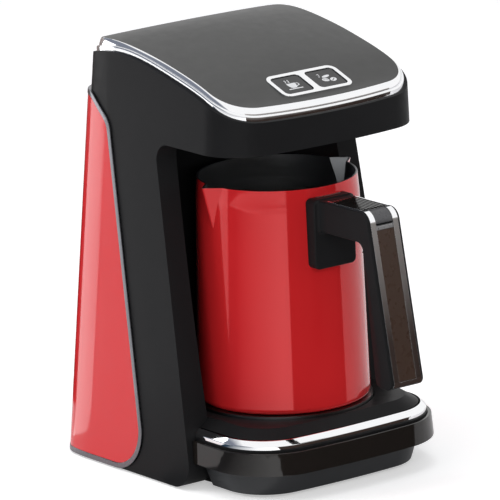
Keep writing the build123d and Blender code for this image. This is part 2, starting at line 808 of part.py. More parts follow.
def floor_plan_solid(low, high):
    """Plan of the bottom cover: rear column, recess and front of the base in one piece."""
    slab = block((-far, far), (floor_opening_front + base_gap, far), (low, high))
    rear = envelope(-wall - base_gap) & slab
    middle = recess_disc(0.0, low, high)
    front = in_front(extrude(Pos(0, 0, low) * pan_plan(-wall - base_gap), high - low))
    return rear + middle + front


def bottom_cover():
    """Floor of the machine: vents, posts under the heater dish, holes for the feet and screws."""
    low = base_bottom
    high = base_bottom + floor_thickness
    cover = floor_plan_solid(low, high)
    dish_bottom = heating_plate_top - heating_plate_thickness - dish_depth
    for index in range(post_count):
        place = at_bearing((0, 0), dish_radius - post_margin, index * 360 / post_count)
        cover += upright(post_radius, low, dish_bottom, place)
    for index in range(vent_count):
        x = (index - (vent_count - 1) / 2) * vent_pitch
        slot = Pos(x, rear_reach - vent_set_back, low - past) * SlotOverall(*vent_size, rotation=90)
        cover -= extrude(slot, floor_thickness + 2 * past)
    for place in foot_places():
        cover -= upright(foot_stem_radius + seat_gap, low - past, high + past, place)
    for place in screw_places():
        hole = screw_radius + floor_screw_clearance
        sink = screw_head_radius + floor_screw_clearance
        cover -= upright(hole, low - past, high + past, place)
        cover -= upright(sink, low - past, low + screw_head_height, place)
    return cover + board_rails()


def foot_places():
    front_y = -(jug_base_radius + pan_front) + front_foot[1]
    front = (pan_half_width - front_foot[0], front_y)
    rear = (housing_half_width - rear_foot[0], rear_reach - rear_foot[1])
    return [(side * x, y) for side in (-1, 1) for x, y in (front, rear)]


def screw_places():
    beside_recess = at_bearing((0, 0), recess_radius + floor_screw_boss_radius, side_screw_bearing)
    rear = (rear_screw[0], rear_reach - rear_screw[1])
    return [(side * x, y) for side in (-1, 1) for x, y in (beside_recess, rear)]


def feet():
    """Rubber pads with a stem through the bottom cover and a head above it."""
    pads = []
    stem_top = base_bottom + floor_thickness + seat_gap
    for place in foot_places():
        pad = upright(foot_radius, 0, base_bottom, place)
        stem = upright(foot_stem_radius, base_bottom, stem_top, place)
        head = upright(foot_stem_radius + foot_head_lip, stem_top, stem_top + foot_head_height, place)
        pads.append(pad + stem + head)
    return pads


def floor_screws():
    """Screws with sunk heads that hold the bottom cover to the bosses of the housing."""
    low = base_bottom
    head_top = low + screw_head_height
    shank_top = low + screw_length + floor_screw_extra
    screws = []
    for place in screw_places():
        shank = upright(screw_radius - floor_screw_slack, head_top, shank_top, place)
        screws.append(upright(screw_head_radius, low, head_top, place) + shank)
    return screws


# ---------------------------------------------------------------- power board in the rear column
def power_board():
    return block((-power_board_half_width, power_board_half_width),
                 (power_board_y, power_board_y + board_thickness),
                 (power_board_foot, power_board_foot + power_board_height))


def board_rails():
    """Two slotted rails on the bottom cover that the power board stands in."""
    rails = Part()
    rear = power_board_y + board_thickness
    for side in (-1, 1):
        x = side * (power_board_half_width - rail_depth)
        rail = block((x - rail_depth, x + rail_depth), (power_board_y - rail_cheek, rear + rail_cheek),
                     (base_bottom, power_board_foot + rail_grip))
        slot = block((-power_board_half_width - seat_gap, power_board_half_width + seat_gap),
                     (power_board_y - seat_gap, rear + seat_gap), (power_board_foot, far))
        rails += rail - slot
    return rails


def on_board(size, place):
    """A component that stands on the rear face of the power board."""
    width, depth, height = size
    x, z = place[0], power_board_foot + place[1]
    front = power_board_y + board_thickness
    return block((x - width / 2, x + width / 2), (front, front + depth), (z - height / 2, z + height / 2))


def capacitor():
    x, z = capacitor_place[0], power_board_foot + capacitor_place[1]
    middle_y = power_board_y + board_thickness + capacitor_length / 2
    return Pos(x, middle_y, z) * Rot(90, 0, 0) * Cylinder(capacitor_radius, capacitor_length)


# ---------------------------------------------------------------- jug
def jug_profile(inset, bottom):
    """Half section of the jug's wall: bottom, foot, straight wall and the lip that closes in."""
    base = jug_base_radius - inset
    shoulder = base - jug_taper
    lip = shoulder - jug_lip_taper
    shoulder_z = jug_top - jug_lip_height
    top = jug_top + (past if inset else 0)
    foot = FilletPolyline((0, bottom), (base, bottom), (shoulder, shoulder_z),
                          radius=jug_foot_radius - inset / 2)
    wall_slope = ((shoulder - base) / (shoulder_z - bottom), 1)
    close_in = Spline((shoulder, shoulder_z), (lip, top), tangents=(wall_slope, (0, 1)))
    rest = Polyline((lip, top), (0, top), (0, bottom))
    return revolve(Plane.XZ * make_face([foot, close_in, rest]), Axis.Z)


def spout_form(side, inset):
    """V-shaped spout: a rounded wedge that slides down and in until it meets the wall."""
    rim = jug_base_radius - jug_taper - jug_lip_taper
    flank = (rim ** 2 - spout_half_width ** 2) ** 0.5
    tip = rim + spout_reach
    spread = spout_half_width / (tip - flank)
    root = rim - spout_reach
    outline = closed_polyline((tip, 0), (root, (tip - root) * spread), (root, -(tip - root) * spread))
    outline = fillet(outline.vertices().sort_by(Axis.X)[-1], spout_tip_radius)
    if inset:
        outline = offset(outline, amount=-inset)
    wall_at_foot = jug_base_radius - jug_taper * (jug_height - spout_depth) / (jug_height - jug_lip_height)
    slide = tip - spout_tip_radius * (1 / sin(atan(spread)) - 1) - wall_at_foot
    slope = slide / spout_depth
    below = spout_depth + spout_run_on
    above = past if inset else 0
    low = Pos(-slope * below, 0, jug_top - below) * outline
    high = Pos(slope * above, 0, jug_top + above) * outline
    wedge = loft([low, high], ruled=True)
    return wedge if side > 0 else mirror(wedge, about=Plane.YZ)


def jug_body():
    """Sheet-metal jug with a pouring spout on each side."""
    floor = jug_bottom + jug_base_disc_thickness + jug_wall
    outside = jug_profile(0.0, jug_bottom) + spout_form(1, 0.0) + spout_form(-1, 0.0)
    inside = jug_profile(jug_wall, floor) + spout_form(1, jug_wall) + spout_form(-1, jug_wall)
    disc = upright(jug_base_radius - jug_base_disc_margin + seat_gap, jug_bottom - past,
                   jug_bottom + jug_base_disc_thickness)
    return outside - inside - disc


def jug_base_disc():
    """Heat-spreading disc set into the bottom of the jug."""
    return upright(jug_base_radius - jug_base_disc_margin, jug_bottom, jug_bottom + jug_base_disc_thickness)


def handle_bracket():
    """Plate on the jug's wall that swells into the arm's root, with a pocket for the welded tab."""
    high = jug_top - bracket_top_drop
    low = high - bracket_height
    face = Plane(origin=(0, bracket_front, 0), x_dir=(1, 0, 0), z_dir=(0, -1, 0))
    outline = Pos(0, (low + high) / 2) * RectangleRounded(
        2 * bracket_half_width, bracket_height, bracket_corner_radius)
    plate = extrude(face * outline, bracket_front)
    plate = fillet(plate.faces().sort_by(Axis.Y)[0].edges(), bracket_edge_radius)
    stub = block((-handle_half_width, handle_half_width), (arm_root, bracket_front + past),
                 (arm_bottom, handle_top))
    stub = fillet(stub.edges().filter_by(Axis.Y), grip_edge_radius)
    plate += stub
    seam = plate.edges().filter_by(lambda e: abs(e.center().Y - bracket_front) < 0.01)
    sides = seam.filter_by(Axis.Z).filter_by(lambda e: abs(abs(e.center().X) - handle_half_width) < 0.01)
    below = seam.filter_by(Axis.X).filter_by(lambda e: abs(e.center().Z - arm_bottom) < 0.01)
    plate = fillet(sides + below, arm_root_radius)
    return plate - jug_keep_out(seat_gap) - tab_form(tab_clearance) - tongue(tab_clearance)


def jug_keep_out(grow):
    """The jug's outside, grown, as a plain cone."""
    slope = jug_taper / (jug_height - jug_lip_height)
    low = jug_base_radius + grow
    high = low - slope * jug_height
    cone = Cone(low, high, jug_height, align=(Align.CENTER, Align.CENTER, Align.MIN))
    return Pos(0, 0, jug_bottom) * cone


def tab_form(grow):
    """Curved plate on the wall, as a slice of a slightly larger cone."""
    middle = handle_top - arm_height / 2 - tab_drop
    window = block((-tab_half_width - grow, tab_half_width + grow), (-far, 0),
                   (middle - tab_height / 2 - grow, middle + tab_height / 2 + grow))
    return (jug_keep_out(tab_thickness + seat_gap + grow) - jug_keep_out(seat_gap)) & window


def tongue(grow):
    """Flat tongue from the tab into the arm, as a box grown all round."""
    root = -(jug_base_radius - jug_taper)
    end = screw_place().position.Y - tongue_end_margin
    middle = handle_top - arm_height / 2 - tab_drop
    return block((-tongue_half_width - grow, tongue_half_width + grow), (end - grow, root),
                 (middle - tongue_thickness / 2 - grow, middle + tongue_thickness / 2 + grow))


def handle_tab():
    """Steel tab welded to the jug, with the tongue that carries the handle."""
    hole = screw_place() * Cylinder(handle_screw_radius + seat_gap, 2 * arm_height)
    return tab_form(0.0) + (tongue(0.0) - jug_keep_out(seat_gap) - hole)


def grip_profile(grow=0.0):
    """Side view of the arm and grip."""
    root = arm_root - seat_gap / 2
    inner_top = -(jug_base_radius + grip_inner_top)
    inner_bottom = inner_top - grip_inner_lean * (arm_bottom - grip_bottom)
    outline = FilletPolyline((root, handle_top), (grip_corner_y, handle_top), (grip_bottom_y, grip_bottom),
                             (inner_bottom, grip_bottom), (inner_top, arm_bottom), (root, arm_bottom),
                             radius=(grip_corner_radius, grip_end_radius, grip_end_radius, grip_inner_radius))
    face = make_face([outline, Line((root, arm_bottom), (root, handle_top))])
    return offset(face, amount=grow) if grow else face


def skin(proud, depth, half_width):
    """Layer of the handle's outer side: along the arm's top, round the corner and down the grip."""
    root = arm_root - strip_end_gap
    arm_middle = handle_top - arm_height / 2
    foot = grip_bottom + trim_end_margin
    above = handle_top + arm_height
    outside = grip_bottom_y - arm_height
    outer_half = closed_polyline(
        (root, above), (root, arm_middle), (grip_corner_y + frame_corner_set_back, arm_middle),
        (grip_bottom_y + frame_foot_set_back, foot), (outside, foot), (outside, above))
    layer = (grip_profile(proud) - grip_profile(-depth)) & outer_half
    return across(layer, half_width)


def corner_end_y():
    """Where the rounded corner of the handle runs out into the arm's flat top."""
    return grip_corner_y + grip_corner_radius * tan(radians(45) - atan(grip_lean) / 2)


def grip_side_cutter(side):
    """Wedge beside the grip, up to the arm: it tapers the half of the grip that faces the jug."""
    lean = degrees(atan(grip_lean))
    crease_y = grip_bottom_y + grip_side_depth / cos(radians(lean))
    length = (arm_bottom - grip_inner_radius - grip_bottom) / cos(radians(lean))
    reach = 3 * handle_half_width
    inward = reach * tan(radians(grip_side_taper))
    wedge = closed_polyline((0, 0), (reach, 0), (reach, reach), (-inward, reach))
    foot = Pos(handle_half_width, crease_y, grip_bottom) * Rot(lean, 0, 0)
    cutter = foot * Pos(0, 0, -arm_height) * extrude(wedge, length + arm_height)
    return cutter if side > 0 else mirror(cutter, about=Plane.YZ)


def handle_grip():
    """Arm and grip in one moulding, with a sunk bed for the trims."""
    grip = across(grip_profile(), handle_half_width)
    on_side = grip.edges().filter_by(lambda e: abs(abs(e.center().X) - handle_half_width) < 0.01)
    grip = fillet(on_side.filter_by(Axis.Z, reverse=True), grip_edge_radius)
    grip = grip - grip_side_cutter(-1) - grip_side_cutter(1)
    bed = skin(arm_height, trim_depth + seat_gap, trim_half_width + seat_gap)
    screw = screw_place() * Cylinder(handle_screw_radius + seat_gap, 2 * arm_height)
    head = screw_place() * Cylinder(handle_screw_head_radius + seat_gap, 2 * handle_screw_head_height)
    return grip - bed - screw - head - tongue(tab_clearance)


def screw_place():
    """Foot of the handle screw, on the arm's underside near the bracket."""
    return Pos(0, bracket_front - handle_screw_set_back, arm_bottom)


def handle_screw():
    """Screw through the arm and the tab's tongue, its head sunk in the arm's underside."""
    head = upright(handle_screw_head_radius, 0, handle_screw_head_height)
    shank_top = arm_height - trim_depth - handle_screw_cover
    return screw_place() * (head + upright(handle_screw_radius, handle_screw_head_height, shank_top))


def corner_window():
    """Everything from the band up, round the corner, to where the arm's flat top begins."""
    return block((-insert_half_width - seat_gap, insert_half_width + seat_gap), (-far, corner_end_y()),
                 (grip_bottom + insert_end_margin, 2 * far))


def handle_frame():
    """Bright frame round the insert that runs on along both edges of the arm as thin rails."""
    layer = skin(trim_proud, trim_depth, trim_half_width)
    strip_half = trim_half_width - rail_width
    strip = block((-strip_half, strip_half), (corner_end_y(), 0), (arm_bottom, 2 * far))
    return layer - corner_window() - strip


def inner_trim(low, high):
    """A filling between the frame's bars from one height to another."""
    layer = skin(insert_proud, trim_depth, insert_half_width)
    return layer & block((-far, far), (-far, corner_end_y() - seat_gap), (low, high))


def handle_insert():
    return inner_trim(grip_bottom + insert_end_margin + seat_gap, band_top - band_height - seat_gap)


def handle_band():
    return inner_trim(band_top - band_height, band_top)


def handle_cap():
    return inner_trim(band_top + cap_gap, 2 * far)


def handle_strip():
    """Ribbed strip on top of the arm."""
    half_width = trim_half_width - rail_width - seat_gap
    layer = skin(0.0, trim_depth, half_width)
    strip = layer & block((-far, far), (corner_end_y() + seat_gap, 0), (arm_bottom, 2 * far))
    front = corner_end_y() + ridge_end_margin
    rear = arm_root - strip_end_gap - ridge_end_margin
    ridges = 2 * int((half_width - ridge_width / 2) / ridge_pitch) + 1
    for index in range(ridges):
        x = (index - (ridges - 1) / 2) * ridge_pitch
        strip += block((x - ridge_width / 2, x + ridge_width / 2), (front, rear),
                       (handle_top - trim_depth / 2, handle_top + ridge_height))
    return strip


os.makedirs("parts", exist_ok=True)
save("main_housing", main_housing())
save("cord_gland", cord_gland())
save("rear_cover", rear_cover())
save("rear_trim", rear_trim())
save("head_hatch", hatch())
save("sensor_window", sensor_window())
save("sensor_board", sensor_board())
save("lid_ring", lid_ring())
save("lid_panel", lid_panel())
save("button_bezel", button_bezel())
for button_name, side in (("brew", -1), ("beans", 1)):
    save(f"{button_name}_button", button_cap(side))
    save(f"{button_name}_plunger", plunger(side))
    save(f"{button_name}_switch", tact_switch(side))
save("button_board", button_board())
save("button_board_screws", Compound(board_screws()))
save("buzzer", buzzer())
save("base_pan", base_pan())
save("base_skirt", base_skirt())
save("base_ring", base_ring())
save("platform", platform())
save("heating_plate", heating_plate())
save("heating_element", heating_element())
save("heater_dish", heater_dish())
save("temperature_sensor", temperature_sensor())
save("thermal_fuse", thermal_fuse())
save("bottom_cover", bottom_cover())
save("feet", Compound(feet()))
save("floor_screws", Compound(floor_screws()))
save("power_board", power_board())
save("relay", on_board(relay_size, relay_place))
save("transformer", on_board(transformer_size, transformer_place))
save("capacitor", capacitor())
save("terminal_block", on_board(terminal_size, terminal_place))
save("jug_body", jug_body())
save("jug_base_disc", jug_base_disc())
save("handle_bracket", handle_bracket())
save("handle_tab", handle_tab())
save("handle_grip", handle_grip())
save("handle_screw", handle_screw())
save("handle_frame", handle_frame())
save("handle_insert", handle_insert())
save("handle_band", handle_band())
save("handle_cap", handle_cap())
save("handle_strip", handle_strip())
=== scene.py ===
import bisect
import math
import bmesh
import bpy
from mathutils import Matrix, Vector
from mathutils.bvhtree import BVHTree
from mathutils.kdtree import KDTree


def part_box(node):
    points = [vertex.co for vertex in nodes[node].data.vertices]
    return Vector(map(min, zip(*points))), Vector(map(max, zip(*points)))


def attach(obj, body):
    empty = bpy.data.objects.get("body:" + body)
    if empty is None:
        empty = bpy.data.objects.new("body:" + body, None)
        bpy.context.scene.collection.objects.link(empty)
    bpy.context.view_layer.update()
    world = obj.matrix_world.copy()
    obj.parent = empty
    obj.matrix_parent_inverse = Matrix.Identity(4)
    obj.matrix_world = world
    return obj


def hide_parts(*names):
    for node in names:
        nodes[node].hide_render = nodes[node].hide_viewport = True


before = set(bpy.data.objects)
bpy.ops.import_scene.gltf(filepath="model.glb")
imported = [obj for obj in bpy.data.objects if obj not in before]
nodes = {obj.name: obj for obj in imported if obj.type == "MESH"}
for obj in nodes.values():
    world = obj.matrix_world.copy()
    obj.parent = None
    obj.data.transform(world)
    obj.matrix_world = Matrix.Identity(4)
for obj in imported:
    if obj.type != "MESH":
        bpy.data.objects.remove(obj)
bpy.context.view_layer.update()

# ---------------------------------------------------------------- camera
# A long lens from the front left, a little above the lid, so that the sides of the machine stay
# nearly parallel.
camera = bpy.data.objects.new("camera", bpy.data.cameras.new("camera"))
bpy.context.scene.collection.objects.link(camera)
camera.location = (-1.8635, -2.4344, 0.8886)
camera.rotation_euler = [math.radians(angle) for angle in (75.8721, 1.9301, -37.6757)]
camera.data.sensor_width = 36
camera.data.lens = 428.8
camera.data.clip_end = 30
bpy.context.scene.camera = camera
bpy.context.scene.view_settings.view_transform = "Standard"


# ---------------------------------------------------------------- studio
# A white sweep under an even sky, with soft boxes above, behind left, in front and right. Cards that
# show only in gloss draw its streaks: brown-black ones in front, one at the left whose light falls
# off to a cool dark, and a pale strip with a dark edge close behind the cover.


class Value:
    """An output of a node in a material. Sums, products and differences of values add Math nodes."""

    def __init__(self, finish, socket):
        self.finish = finish
        self.socket = socket

    def maths(self, operation, first, second):
        return self.finish.node("ShaderNodeMath", {"operation": operation}, {0: first, 1: second})

    def __add__(self, other):
        return self.maths("ADD", self, other)

    def __radd__(self, other):
        return self.maths("ADD", other, self)

    def __sub__(self, other):
        return self.maths("SUBTRACT", self, other)

    def __rsub__(self, other):
        return self.maths("SUBTRACT", other, self)

    def __mul__(self, other):
        return self.maths("MULTIPLY", self, other)

    def __rmul__(self, other):
        return self.maths("MULTIPLY", other, self)


class Finish:
    """A material or a sky. Its constants stand on the shader itself, and what varies is linked to it."""

    def __init__(self, name, constants, shader="ShaderNodeBsdfPrincipled", sky=False):
        self.material = bpy.data.worlds.new(name) if sky else bpy.data.materials.new(name)
        self.material.use_nodes = True
        self.tree = self.material.node_tree
        self.tree.nodes.clear()
        self.shader = self.tree.nodes.new(shader)
        self.output = self.tree.nodes.new("ShaderNodeOutputWorld" if sky else "ShaderNodeOutputMaterial")
        self.tree.links.new(self.shader.outputs[0], self.output.inputs["Surface"])
        self.vary(constants)

    def put(self, socket, value):
        if isinstance(value, Value):
            self.tree.links.new(value.socket, socket)
        else:
            socket.default_value = value

    def vary(self, values):
        for name, value in values.items():
            self.put(self.shader.inputs[name], value)

    def node(self, kind, settings=None, values=None, output=0):
        """Any node: its settings first, then the values or links of its sockets."""
        made = self.tree.nodes.new(kind)
        for name, value in (settings or {}).items():
            setattr(made, name, value)
        for name, value in (values or {}).items():
            self.put(made.inputs[name], value)
        return Value(self, made.outputs[output])

    def place(self, centre=(0, 0, 0), stretch=(1, 1, 1)):
        """The place on the piece in metres, counted from a centre, with its axes stretched."""
        moved = [-c * s for c, s in zip(centre, stretch)]
        return self.node("ShaderNodeMapping", {}, {
            "Vector": self.node("ShaderNodeTexCoord", output="Object"), "Location": moved, "Scale": stretch})

    def noise(self, size, detail=3.0, stretch=(1, 1, 1)):
        """Soft noise with features of about that size in metres, mostly from 0.3 to 0.7."""
        return self.node("ShaderNodeTexNoise", {}, {
            "Vector": self.place(stretch=stretch), "Scale": 1 / size, "Detail": detail})

    def spread(self, value, low, high, start=0.3, end=0.7):
        """A value that runs from start to end, carried over to low and high."""
        return self.node("ShaderNodeMapRange", {}, {
            "Value": value, "From Min": start, "From Max": end, "To Min": low, "To Max": high})

    def mix(self, share, first, second):
        """Two colours mixed by a value."""
        return self.node("ShaderNodeMix", {"data_type": "RGBA"}, {0: share, 6: first, 7: second}, output=2)

    def relief(self, height, depth):
        """A bump normal; depth is the height in metres of a rise from 0 to 1."""
        return self.node("ShaderNodeBump", {}, {"Height": height, "Distance": depth})


def screen(red, green, blue):
    """A colour as a screen shows it, from 0 to 255, in the shader's light values."""
    return tuple(((c / 255 + 0.055) / 1.055) ** 2.4 if c > 10 else c / 3294.6
                 for c in (red, green, blue)) + (1,)


pale_floor = Finish("pale_floor", {"Roughness": 0.7, "Specular IOR Level": 0.2})
pale_floor.vary({
    "Base Color": pale_floor.mix(pale_floor.noise(0.4), screen(236, 236, 237), screen(241, 241, 241))})
white_veil = pale_floor.node("ShaderNodeEmission", {}, {"Color": (1, 1, 1, 1), "Strength": 0.42})
bare_floor = Value(pale_floor, pale_floor.shader.outputs[0])
veiled = pale_floor.node("ShaderNodeAddShader", {}, {0: bare_floor, 1: white_veil})
seen_directly = pale_floor.node("ShaderNodeLightPath", output="Is Camera Ray")
seen_in_gloss = pale_floor.node("ShaderNodeLightPath", output="Is Glossy Ray")
veil_in_gloss = 0.2
floor_surface = pale_floor.node("ShaderNodeMixShader", {}, {
    0: seen_directly + seen_in_gloss * veil_in_gloss, 1: bare_floor, 2: veiled})
pale_floor.put(pale_floor.output.inputs["Surface"], floor_surface)
bpy.ops.mesh.primitive_plane_add(size=12)
floor = bpy.context.object
floor.name = "floor"
floor.data.materials.append(pale_floor.material)

sky = Finish("sky", {"Strength": 1.0}, "ShaderNodeBackground", sky=True)
sky_direction = sky.node("ShaderNodeTexCoord", output="Generated")
leftward = sky.node("ShaderNodeVectorMath", {"operation": "DOT_PRODUCT"}, {
    0: sky_direction, 1: (-0.82, 0.57, 0.0)}, output="Value")
white, sky_light, sky_on_left = (1, 1, 1, 1), (0.42, 0.42, 0.43, 1), (0.2, 0.22, 0.27, 1)
mirrored = sky.mix(sky.spread(leftward, 0, 1, 0.5, 0.62), white, sky_on_left)
by_gloss = sky.mix(sky.node("ShaderNodeLightPath", output="Is Glossy Ray"), sky_light, mirrored)
sky.vary({"Color": sky.mix(sky.node("ShaderNodeLightPath", output="Is Camera Ray"), by_gloss, white)})
bpy.context.scene.world = sky.material

dark_card = Finish("dark_card", {"Roughness": 0.9, "Specular IOR Level": 0.0})
card_height = dark_card.node("ShaderNodeSeparateXYZ", {}, {
    0: dark_card.node("ShaderNodeTexCoord", output="Object")}, output="Z")
dark_card.vary({"Base Color": dark_card.mix(
    dark_card.spread(card_height, 0, 1, 0.11, 0.24), screen(57, 47, 43), screen(176, 172, 168))})
pale_card = Finish("pale_card", {"Strength": 3.0}, "ShaderNodeEmission")
pale_card.vary({"Color": pale_card.mix(pale_card.noise(0.1), screen(248, 248, 250), screen(255, 255, 255))})
# Its light falls off by the angle round the jug, from white at the front to a cool dark at the side.
falling_card = Finish("falling_card", {"Strength": 1.45}, "ShaderNodeEmission")
falling_place = falling_card.node("ShaderNodeTexCoord", output="Object")
sideways, forwards = (falling_card.node("ShaderNodeVectorMath", {"operation": "DOT_PRODUCT"}, {
    0: falling_place, 1: way}, output="Value") for way in ((-0.79, 0.61, 0), (-0.61, -0.79, 0)))
falling_angle = falling_card.node("ShaderNodeMath", {"operation": "ARCTAN2"}, {0: sideways, 1: forwards})
falling_end, cool_dark = 1.05, (0.02, 0.035, 0.055, 1)
falling_card.vary({"Color": falling_card.mix(
    falling_card.spread(falling_angle, 0, 1, 0.0, falling_end), white, cool_dark)})


def card(name, corners, finish):
    """A flat card through four corners, seen only in gloss."""
    made = bpy.data.objects.new(name, bpy.data.meshes.new(name))
    bpy.context.scene.collection.objects.link(made)
    made.data.from_pydata(corners, [], [(0, 1, 2, 3)])
    made.data.materials.append(finish.material)
    made.visible_camera = False
    made.visible_diffuse = False
    made.visible_shadow = False
    made.visible_transmission = False


front_left, front_right, front_y, front_top = -0.27, 0.68, -0.55, 0.28
strip_left, strip_right, strip_y, strip_top = -0.161, -0.098, 0.2, 0.26
foot_left, foot_right, foot_y, strip_foot = -0.102, -0.075, 0.125, 0.002
edge_right = 0.02
card("card_on_floor", [(-0.042, -0.08, 0.001), (front_left, front_y, 0.001), (front_right, front_y, 0.001),
                       (0.047, -0.08, 0.001)], dark_card)
card("card_in_front", [(front_left, front_y, 0), (front_left, front_y, front_top),
                       (front_right, front_y, front_top), (front_right, front_y, 0)], dark_card)
card("card_on_left", [(-0.042, -0.08, 0.0012), (-0.407, -0.832, 0.0012), (-1.6, 0.6, 0.0012),
                      (-0.076, 0.02, 0.0012)], falling_card)
card("pale_strip", [(strip_left, strip_y, strip_foot), (strip_left, strip_y, strip_top),
                    (strip_right, strip_y, strip_top), (strip_right, strip_y, strip_foot)], pale_card)
card("pale_strip_on_floor", [(foot_left, foot_y, strip_foot), (strip_left, strip_y, strip_foot),
                             (strip_right, strip_y, strip_foot), (foot_right, foot_y, strip_foot)], pale_card)
card("dark_edge", [(strip_right, strip_y, strip_foot), (strip_right, strip_y, strip_top),
                   (edge_right, strip_y, strip_top), (edge_right, strip_y, strip_foot)], dark_card)


def soft_box(name, place, size, power, aim=(0, 0, 0.12)):
    """A rectangular lamp that faces the machine."""
    lamp = bpy.data.objects.new(name, bpy.data.lights.new(name, "AREA"))
    bpy.context.scene.collection.objects.link(lamp)
    lamp.data.shape = "RECTANGLE"
    lamp.data.size, lamp.data.size_y = size
    lamp.data.energy = power
    lamp.location = place
    lamp.rotation_euler = (Vector(aim) - Vector(place)).to_track_quat("-Z", "Y").to_euler()
    lamp.visible_glossy = False


soft_box("top_box", (-0.3, 0.1, 1.6), (1.4, 1.4), 10)
soft_box("side_box", (-1.5, 1.05, 0.8), (0.8, 1.2), 14)
soft_box("front_box", (-0.8, -1.6, 0.9), (0.6, 1.2), 11.5)
soft_box("right_box", (1.1, -1.2, 0.6), (0.25, 1.2), 3)


# ---------------------------------------------------------------- housing
# Two cheeks, the column and the overhanging head, one moulding of black ABS with a fine satin
# grain. Everything else clips or screws to it.


def dress(finish, *names):
    """Gives CAD pieces their finish."""
    for name in names:
        for slot in nodes[name].material_slots:
            slot.material = finish.material


def moulded(name, darker, lighter, roughness, grain, depth, shine=0.5, metal=0.0):
    """A finish whose colour and gloss drift a little over a grain of that size and depth."""
    made = Finish(name, {"Specular IOR Level": shine, "Metallic": metal})
    made.vary({
        "Base Color": made.mix(made.noise(0.03), screen(*darker), screen(*lighter)),
        "Roughness": made.spread(made.noise(0.006), *roughness),
        "Normal": made.relief(made.noise(grain, detail=2.0), depth)})
    return made


satin_black = moulded("satin_black", (26, 26, 27), (30, 30, 31), (0.36, 0.44), 0.0005, 0.00001, shine=0.06)
dress(satin_black, "head_hatch", "bottom_cover")


def merged_copy(node, name, joined=True):
    """A copy of a CAD piece without its doubled points, and with its flat triangles joined into faces."""
    bpy.ops.object.select_all(action="DESELECT")
    piece = bpy.data.objects.new(name, nodes[node].data.copy())
    bpy.context.scene.collection.objects.link(piece)
    bpy.context.view_layer.objects.active = piece
    piece.select_set(True)
    bpy.ops.mesh.customdata_custom_splitnormals_clear()
    bpy.ops.object.mode_set(mode="EDIT")
    bpy.ops.mesh.select_all(action="SELECT")
    bpy.ops.mesh.remove_doubles(threshold=0.000001)
    if joined:
        bpy.ops.mesh.dissolve_limited(angle_limit=math.radians(0.4))
    bpy.ops.object.mode_set(mode="OBJECT")
    return piece


def stand_for(piece, node, body, finish):
    """Gives a piece its finish, and lets it stand for a CAD piece and move with a body."""
    piece.data.materials.clear()
    piece.data.materials.append(finish.material)
    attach(piece, body)
    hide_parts(node)


def shaded(piece):
    """Smooth shading that follows the larger faces and breaks at sharp edges."""
    bpy.ops.object.shade_smooth_by_angle(angle=math.radians(35))
    piece.modifiers.new("shading", "WEIGHTED_NORMAL").keep_sharp = True
    bpy.ops.object.modifier_apply(modifier="shading")


def rounded(piece, edge, angle=30, segments=2, broad_edge=0.0, broad=None):
    """Rounds the edges that are sharper than an angle, and rounds those more that broad() picks."""
    if broad:
        shape = bmesh.new()
        shape.from_mesh(piece.data)
        weight = shape.edges.layers.float.new("bevel_weight_edge")
        for line in shape.edges:
            if len(line.link_faces) == 2 and line.calc_face_angle() > math.radians(angle):
                line[weight] = 1 if broad((line.verts[0].co + line.verts[1].co) / 2) else edge / broad_edge
        shape.to_mesh(piece.data)
        shape.free()
    rounding = piece.modifiers.new("rounding", "BEVEL")
    rounding.width = broad_edge if broad else edge
    rounding.limit_method = "WEIGHT" if broad else "ANGLE"
    rounding.segments = segments
    rounding.angle_limit = math.radians(angle)
    bpy.ops.object.modifier_apply(modifier="rounding")
    shaded(piece)


def softened(node, name, body, edge, finish, segments=2):
    """A copy of a CAD piece with its edges rounded."""
    piece = merged_copy(node, name)
    rounded(piece, edge, segments=segments)
    stand_for(piece, node, body, finish)


# The line on which the lid's ring meets the housing, taken from the foot of the ring and walked round.
ring_copy = merged_copy("lid_ring", "ring_copy")
shape = bmesh.new()
shape.from_mesh(ring_copy.data)
lid_middle = Vector((0, 0.0147, 0))
beside = {}
for line in shape.edges:
    middle = (line.verts[0].co + line.verts[1].co) / 2 - lid_middle
    down = [face for face in line.link_faces if face.normal.z < -0.6]
    out = [face for face in line.link_faces
           if abs(face.normal.z) < 0.5 and face.normal.x * middle.x + face.normal.y * middle.y > 0]
    if len(down) == 1 and len(out) == 1:
        first, second = (vertex.index for vertex in line.verts)
        beside.setdefault(first, []).append(second)
        beside.setdefault(second, []).append(first)
shape.verts.ensure_lookup_table()
walk = [min(beside)]
while len(walk) < len(beside):
    walk.append([other for other in beside[walk[-1]] if len(walk) < 2 or other != walk[-2]][0])
seam = [shape.verts[i].co.copy() for i in walk]
shape.free()
bpy.data.objects.remove(ring_copy)
lengths = [0.0]
for i, point in enumerate(seam):
    lengths.append(lengths[-1] + (seam[(i + 1) % len(seam)] - point).length)


def along_seam(distance):
    """The point at that distance round the seam."""
    i = bisect.bisect_right(lengths, distance) - 1
    return seam[i].lerp(seam[(i + 1) % len(seam)], (distance - lengths[i]) / (lengths[i + 1] - lengths[i]))


# Even steps round the seam, the way out from each, and the seam's height by depth.
steps = 280
path = [along_seam(lengths[-1] * i / steps) for i in range(steps)]
outward = []
for i, point in enumerate(path):
    run = path[(i + 2) % steps] - path[i - 2]
    side = Vector((run.y, -run.x, 0)).normalized()
    outward.append(side if side.dot(point - lid_middle) > 0 else -side)
plan = KDTree(steps)
for i, point in enumerate(path):
    plan.insert((point.x, point.y, 0), i)
plan.balance()
by_depth = sorted((point.y, point.z) for point in seam)


def nearest_on_seam(place):
    """The number of the nearest point of the seam in plan, and how far away it is."""
    found = plan.find((place.x, place.y, 0))
    return found[1], found[2]


def seam_height(y):
    """The height of the seam at that depth of the machine."""
    i = min(max(bisect.bisect_left(by_depth, (y, 0)), 1), len(by_depth) - 1)
    (near, low), (far, high) = by_depth[i - 1], by_depth[i]
    return low if far - near < 1e-9 else low + (high - low) * (min(max(y, near), far) - near) / (far - near)


